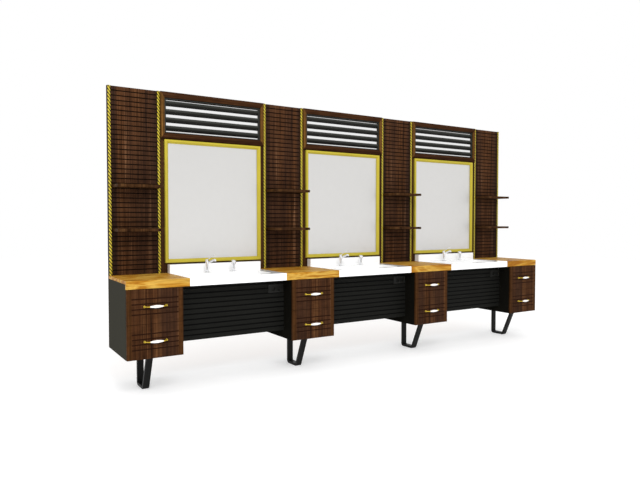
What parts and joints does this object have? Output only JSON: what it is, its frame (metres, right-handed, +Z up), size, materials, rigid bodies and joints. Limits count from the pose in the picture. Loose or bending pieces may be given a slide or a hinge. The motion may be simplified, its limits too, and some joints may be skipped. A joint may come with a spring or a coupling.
{
  "type": "salon wall station",
  "caption": "Wall-mounted salon station: mirrors under louvred lights between clad columns with shelves, basins with mixer taps, drawer cabinets on bent bar legs.",
  "frame": {"origin": "middle of the bounding box's underside, on the floor", "axes": "+X along the wall, +Y towards the room wall behind, +Z up"},
  "size_m": [3.97, 0.5404, 2.085],
  "materials": {
    "walnut_cladding": "grooved dark walnut, satin",
    "walnut_panel": "smooth dark walnut, satin",
    "walnut_frame": "reddish walnut, satin",
    "walnut_front": "grooved dark walnut drawer front, satin",
    "oak": "oiled oak",
    "pine": "planed",
    "carcass_board": "anthracite melamine board",
    "drawer_board": "light grey melamine board",
    "black_ribbed": "black ribbed board, satin",
    "gold_rope": "gold lacquer",
    "gold_frame": "gold lacquer",
    "mirror": "silvered float glass",
    "black_metal": "black satin paint",
    "black_steel": "black satin paint",
    "diffuser": "opal sheet",
    "led": "light strip on flexible tape",
    "ceramic": "white glaze",
    "chrome": "polished",
    "steel": "zinc plated",
    "socket_plastic": "dark grey",
    "handle_brass": "polished brass ends with a white porcelain grip"
  },
  "bodies": {
    "station": {"column_panels": "walnut_cladding", "bay_panels": "walnut_panel", "rope_mouldings": "gold_rope", "shelves": "walnut_panel", "shelf_pins": "steel", "mirror_frames": "gold_frame", "mirror_glasses": "mirror", "louvre_surrounds": "walnut_frame", "louvre_frames": "black_metal", "louvre_slats": "black_metal", "light_diffusers": "diffuser", "led_strips": "led", "carcass_1": "carcass_board", "carcass_2": "carcass_board", "carcass_3": "carcass_board", "carcass_4": "carcass_board", "worktops": "oak", "basins": "ceramic", "basin_bearers": "pine", "basin_wastes": "chrome", "knee_panels": "black_ribbed", "socket_outlets": "socket_plastic", "legs": "black_steel", "leg_screws": "steel", "tap_bodies": "chrome", "spray_holders": "chrome", "drawer_runners": "steel"},
    "drawer_1": {"drawer_1_front": "walnut_front", "drawer_1_box": "drawer_board", "drawer_1_handle": "handle_brass"},
    "drawer_2": {"drawer_2_front": "walnut_front", "drawer_2_box": "drawer_board", "drawer_2_handle": "handle_brass"},
    "drawer_3": {"drawer_3_front": "walnut_front", "drawer_3_box": "drawer_board", "drawer_3_handle": "handle_brass"},
    "drawer_4": {"drawer_4_front": "walnut_front", "drawer_4_box": "drawer_board", "drawer_4_handle": "handle_brass"},
    "drawer_5": {"drawer_5_front": "walnut_front", "drawer_5_box": "drawer_board", "drawer_5_handle": "handle_brass"},
    "drawer_6": {"drawer_6_front": "walnut_front", "drawer_6_box": "drawer_board", "drawer_6_handle": "handle_brass"},
    "drawer_7": {"drawer_7_front": "walnut_front", "drawer_7_box": "drawer_board", "drawer_7_handle": "handle_brass"},
    "drawer_8": {"drawer_8_front": "walnut_front", "drawer_8_box": "drawer_board", "drawer_8_handle": "handle_brass"},
    "tap_1_cap": {"tap_1_cap": "chrome"},
    "tap_1_lever": {"tap_1_lever": "chrome"},
    "spray_1": {"spray_1": "chrome"},
    "tap_2_cap": {"tap_2_cap": "chrome"},
    "tap_2_lever": {"tap_2_lever": "chrome"},
    "spray_2": {"spray_2": "chrome"},
    "tap_3_cap": {"tap_3_cap": "chrome"},
    "tap_3_lever": {"tap_3_lever": "chrome"},
    "spray_3": {"spray_3": "chrome"}
  },
  "joints": [
    {"name": "drawer_1_slide", "type": "slide", "parent": "station", "child": "drawer_1", "axis": [0, -1, 0], "range_m": [0, 0.3]},
    {"name": "drawer_2_slide", "type": "slide", "parent": "station", "child": "drawer_2", "axis": [0, -1, 0], "range_m": [0, 0.3]},
    {"name": "drawer_3_slide", "type": "slide", "parent": "station", "child": "drawer_3", "axis": [0, -1, 0], "range_m": [0, 0.3]},
    {"name": "drawer_4_slide", "type": "slide", "parent": "station", "child": "drawer_4", "axis": [0, -1, 0], "range_m": [0, 0.3]},
    {"name": "drawer_5_slide", "type": "slide", "parent": "station", "child": "drawer_5", "axis": [0, -1, 0], "range_m": [0, 0.3]},
    {"name": "drawer_6_slide", "type": "slide", "parent": "station", "child": "drawer_6", "axis": [0, -1, 0], "range_m": [0, 0.3]},
    {"name": "drawer_7_slide", "type": "slide", "parent": "station", "child": "drawer_7", "axis": [0, -1, 0], "range_m": [0, 0.3]},
    {"name": "drawer_8_slide", "type": "slide", "parent": "station", "child": "drawer_8", "axis": [0, -1, 0], "range_m": [0, 0.3]},
    {"name": "tap_1_turn", "type": "hinge", "parent": "station", "child": "tap_1_cap", "pos_m": [-1.308, 0.13325, 0.8463], "axis": [0, 0, 1], "range_deg": [-50, 50]},
    {"name": "tap_1_lift", "type": "hinge", "parent": "tap_1_cap", "child": "tap_1_lever", "pos_m": [-1.308, 0.13325, 0.8543], "axis": [-0.7071, -0.7071, 0], "range_deg": [0, 25]},
    {"name": "spray_1_lift", "type": "slide", "parent": "station", "child": "spray_1", "axis": [0, 0, 1], "range_m": [0, 0.15]},
    {"name": "tap_2_turn", "type": "hinge", "parent": "station", "child": "tap_2_cap", "pos_m": [-0.108, 0.13325, 0.8463], "axis": [0, 0, 1], "range_deg": [-50, 50]},
    {"name": "tap_2_lift", "type": "hinge", "parent": "tap_2_cap", "child": "tap_2_lever", "pos_m": [-0.108, 0.13325, 0.8543], "axis": [-0.7071, -0.7071, 0], "range_deg": [0, 25]},
    {"name": "spray_2_lift", "type": "slide", "parent": "station", "child": "spray_2", "axis": [0, 0, 1], "range_m": [0, 0.15]},
    {"name": "tap_3_turn", "type": "hinge", "parent": "station", "child": "tap_3_cap", "pos_m": [1.092, 0.13325, 0.8463], "axis": [0, 0, 1], "range_deg": [-50, 50]},
    {"name": "tap_3_lift", "type": "hinge", "parent": "tap_3_cap", "child": "tap_3_lever", "pos_m": [1.092, 0.13325, 0.8543], "axis": [-0.7071, -0.7071, 0], "range_deg": [0, 25]},
    {"name": "spray_3_lift", "type": "slide", "parent": "station", "child": "spray_3", "axis": [0, 0, 1], "range_m": [0, 0.15]}
  ]
}
